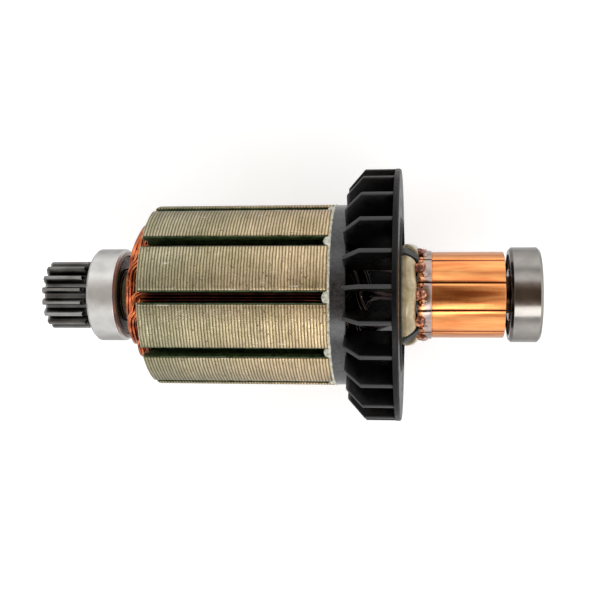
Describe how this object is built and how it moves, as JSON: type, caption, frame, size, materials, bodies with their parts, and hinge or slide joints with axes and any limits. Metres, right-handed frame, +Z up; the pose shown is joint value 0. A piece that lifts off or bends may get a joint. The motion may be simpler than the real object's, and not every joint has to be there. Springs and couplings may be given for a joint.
{
  "type": "motor armature",
  "caption": "Wound rotor of a brushed motor: slotted sheet core with copper coils, cooling fan, commutator, toothed pinion and a ball bearing at each end of the shaft.",
  "frame": {"origin": "centre of the rear bearing's outer ring, on the shaft's axis", "axes": "+X along the shaft towards the commutator end, +Z up; the pinion is at -X"},
  "size_m": [0.1159, 0.0586, 0.0586],
  "materials": {
    "shaft_steel": "ground",
    "pinion_steel": "dark, oiled",
    "bearing_steel": "ground",
    "ball_steel": "polished",
    "cage_plastic": "moulded",
    "shield_steel": "pressed sheet",
    "sleeve": "matt",
    "core_sheet": "sheet edges under varnish",
    "core_coat": "sprayed coat",
    "coil_copper": "enamelled wire",
    "bar_copper": "turned copper",
    "fan_plastic": "moulded",
    "glue": "dried glue",
    "moulding": "moulded",
    "bush_steel": "turned",
    "resin": "glossy resin"
  },
  "bodies": {
    "rear_ring": {"rear_bearing_outer_ring": "bearing_steel", "rear_bearing_front_shield": "shield_steel", "rear_bearing_rear_shield": "shield_steel"},
    "rear_cage": {"rear_bearing_cage": "cage_plastic", "rear_bearing_balls": "ball_steel"},
    "rotor": {"shaft": "shaft_steel", "shaft_spacer": "moulding", "pinion": "pinion_steel", "front_bearing_inner_ring": "bearing_steel", "rear_bearing_inner_ring": "bearing_steel", "shaft_sleeve": "sleeve", "core_laminations": "core_sheet", "core_insulation": "core_coat", "cooling_fan": "fan_plastic", "fan_glue": "glue", "commutator_moulding": "moulding", "commutator_bush": "bush_steel", "lead_resin": "resin", "coil_1": "coil_copper", "coil_2": "coil_copper", "coil_3": "coil_copper", "coil_4": "coil_copper", "coil_5": "coil_copper", "coil_6": "coil_copper", "coil_7": "coil_copper", "coil_8": "coil_copper", "coil_9": "coil_copper", "coil_10": "coil_copper", "commutator_bar_1": "bar_copper", "commutator_bar_2": "bar_copper", "commutator_bar_3": "bar_copper", "commutator_bar_4": "bar_copper", "commutator_bar_5": "bar_copper", "commutator_bar_6": "bar_copper", "commutator_bar_7": "bar_copper", "commutator_bar_8": "bar_copper", "commutator_bar_9": "bar_copper", "commutator_bar_10": "bar_copper", "coil_lead_1": "coil_copper", "coil_lead_2": "coil_copper", "coil_lead_3": "coil_copper", "coil_lead_4": "coil_copper", "coil_lead_5": "coil_copper", "coil_lead_6": "coil_copper", "coil_lead_7": "coil_copper", "coil_lead_8": "coil_copper", "coil_lead_9": "coil_copper", "coil_lead_10": "coil_copper"},
    "front_ring": {"front_bearing_outer_ring": "bearing_steel", "front_bearing_front_shield": "shield_steel", "front_bearing_rear_shield": "shield_steel"},
    "front_cage": {"front_bearing_cage": "cage_plastic", "front_bearing_balls": "ball_steel"}
  },
  "joints": [
    {"name": "rotor_spin", "type": "hinge", "parent": "rear_ring", "child": "rotor", "pos_m": [0, 0, 0], "axis": [1, 0, 0], "continuous": true},
    {"name": "rear_cage_spin", "type": "hinge", "parent": "rear_ring", "child": "rear_cage", "pos_m": [0, 0, 0], "axis": [1, 0, 0], "continuous": true},
    {"name": "front_ring_spin", "type": "hinge", "parent": "rotor", "child": "front_ring", "pos_m": [-0.09715, 0, 0], "axis": [1, 0, 0], "continuous": true},
    {"name": "front_cage_spin", "type": "hinge", "parent": "rotor", "child": "front_cage", "pos_m": [-0.09715, 0, 0], "axis": [1, 0, 0], "continuous": true}
  ],
  "couplings": [
    {"joint": "rear_cage_spin", "follows": "rotor_spin", "ratio": 0.3677},
    {"joint": "front_cage_spin", "follows": "front_ring_spin", "ratio": 0.6323}
  ]
}
